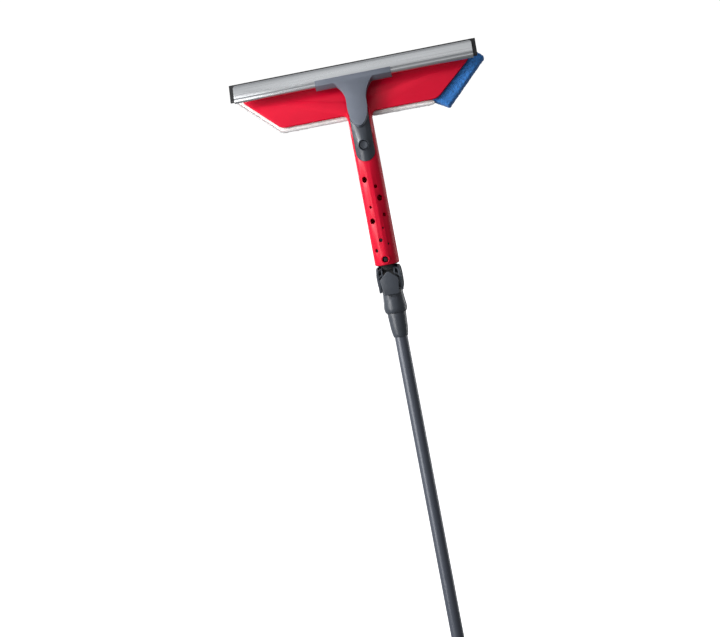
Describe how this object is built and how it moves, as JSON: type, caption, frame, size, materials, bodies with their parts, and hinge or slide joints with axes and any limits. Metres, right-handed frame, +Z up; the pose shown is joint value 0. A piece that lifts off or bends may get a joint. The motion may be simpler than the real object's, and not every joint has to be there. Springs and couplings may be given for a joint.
{
  "type": "window cleaning squeegee",
  "caption": "Window squeegee with a washing pad and scouring strip behind it, on a tubular handle, tilting joint and telescopic pole.",
  "frame": {"origin": "middle of the flat lower end of the pole", "axes": "+Z up the pole, +X along the blade to the scouring strip's end, -Y to the front, where the squeegee is"},
  "size_m": [0.3134, 0.0623, 1.3794],
  "materials": {
    "red_plastic": "semi-gloss moulded",
    "grey_plastic": "fine-grained matte",
    "dark_plastic": "satin moulded",
    "black_plastic": "matte moulded",
    "black_rubber": "smooth",
    "grip_rubber": "ribbed",
    "aluminium": "satin anodised",
    "steel": "zinc plated",
    "pole_paint": "satin charcoal coat",
    "white_microfibre": "short looped pile",
    "blue_scourer": "open scouring foam",
    "hook_tape": "hook side of hook-and-loop tape"
  },
  "bodies": {
    "pole_outer": {"end_cap": "black_plastic", "outer_tube": "pole_paint", "hand_grip": "grip_rubber", "clamp_collet": "grey_plastic"},
    "twist_lock": {"lock_collar": "dark_plastic"},
    "pole_inner": {"inner_tube": "pole_paint", "guide_bush": "black_plastic", "pole_collar": "dark_plastic", "joint_fork": "dark_plastic", "pivot_pin": "steel", "lock_spring": "steel"},
    "tilt_lock": {"tilt_lock_slider": "dark_plastic"},
    "handle": {"joint_head": "black_plastic", "snap_spring": "steel", "handle_shell": "red_plastic", "washer_plate": "red_plastic", "plate_screw_left": "steel", "plate_screw_right": "steel", "hook_tape_left": "hook_tape", "hook_tape_right": "hook_tape", "hook_tape_scourer": "hook_tape", "microfibre_pad": "white_microfibre", "scouring_strip": "blue_scourer"},
    "snap_stud": {"snap_button": "black_plastic"},
    "squeegee": {"squeegee_carrier": "dark_plastic", "button_spring": "steel", "button_retainer": "black_plastic", "t_bracket": "grey_plastic", "bracket_screw": "steel", "blade_rail": "aluminium", "rubber_blade": "black_rubber"},
    "release": {"release_button": "dark_plastic"}
  },
  "joints": [
    {"name": "pole_twist", "type": "hinge", "parent": "pole_outer", "child": "twist_lock", "pos_m": [0, 0, 0.615], "axis": [0, 0, 1], "range_deg": [0, 90]},
    {"name": "pole_extend", "type": "slide", "parent": "pole_outer", "child": "pole_inner", "axis": [0, 0, 1], "range_m": [-0.39, 0.12]},
    {"name": "tilt_lock_slide", "type": "slide", "parent": "pole_inner", "child": "tilt_lock", "axis": [0, 0, -1], "range_m": [0, 0.003], "stiffness_N_per_m": 300, "springref_m": -0.003, "deforming": ["lock_spring"]},
    {"name": "head_tilt", "type": "hinge", "parent": "pole_inner", "child": "handle", "pos_m": [0, 0, 1.1136], "axis": [-1, 0, 0], "range_deg": [-20, 90]},
    {"name": "snap_press", "type": "slide", "parent": "handle", "child": "snap_stud", "axis": [0, 1, 0], "range_m": [0, 0.003], "stiffness_N_per_m": 300, "springref_m": -0.003, "deforming": ["snap_spring"]},
    {"name": "squeegee_release", "type": "slide", "parent": "handle", "child": "squeegee", "axis": [0, 0, 1], "range_m": [0, 0.07]},
    {"name": "release_press", "type": "slide", "parent": "squeegee", "child": "release", "axis": [0, 1, 0], "range_m": [0, 0.002], "stiffness_N_per_m": 300, "springref_m": -0.003, "deforming": ["button_spring"]}
  ]
}
